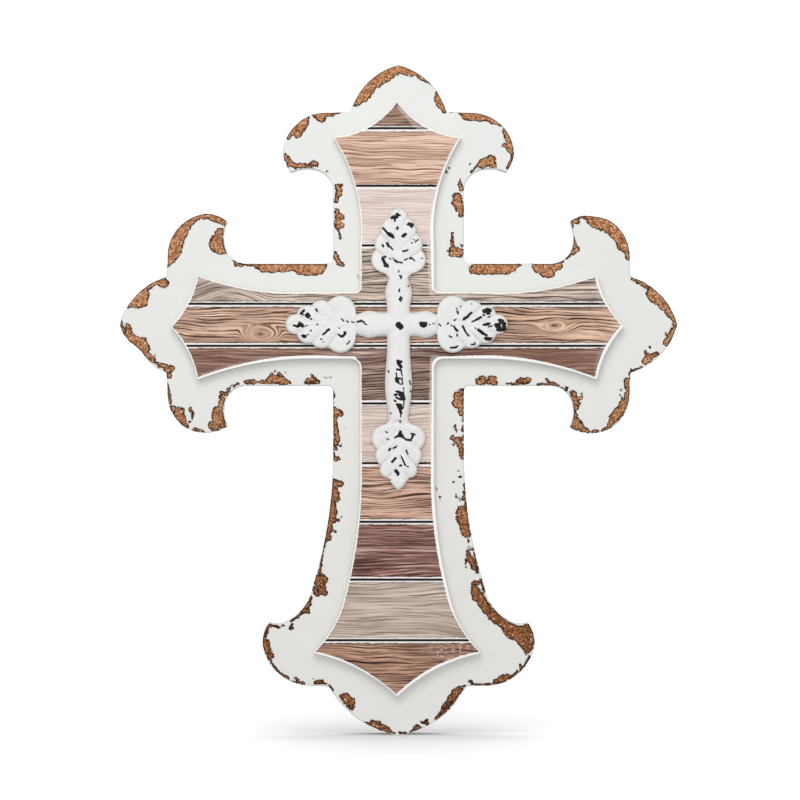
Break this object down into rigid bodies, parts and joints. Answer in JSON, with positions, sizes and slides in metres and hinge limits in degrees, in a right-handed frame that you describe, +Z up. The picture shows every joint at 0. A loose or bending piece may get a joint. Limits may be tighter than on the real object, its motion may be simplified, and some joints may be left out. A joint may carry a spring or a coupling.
{
  "type": "wall cross",
  "caption": "Flat decorative wall cross with leaf-shaped ends, a raised plank-print cross on its front and a small cast cross at its middle.",
  "frame": {"origin": "on the flat back of the upper shaft, on the centre line, 95 mm above the middle of the crossing: the point where it hangs on the wall", "axes": "+Z up along the shaft, +X to the viewer's right along the arms, +Y from the back into the wall, so the front faces -Y"},
  "size_m": [0.299, 0.0237, 0.3596],
  "materials": {
    "distressed_white_paint": "off-white paint on fibreboard, chipped to the brown board along its edges",
    "plank_print": "satin print of mixed weathered planks on fibreboard, with a white edge",
    "rubbed_white_metal": "white paint rubbed through to black on the ridges"
  },
  "bodies": {
    "root": {"base_board": "distressed_white_paint", "raised_panel": "plank_print", "metal_cross": "rubbed_white_metal"}
  },
  "joints": []
}
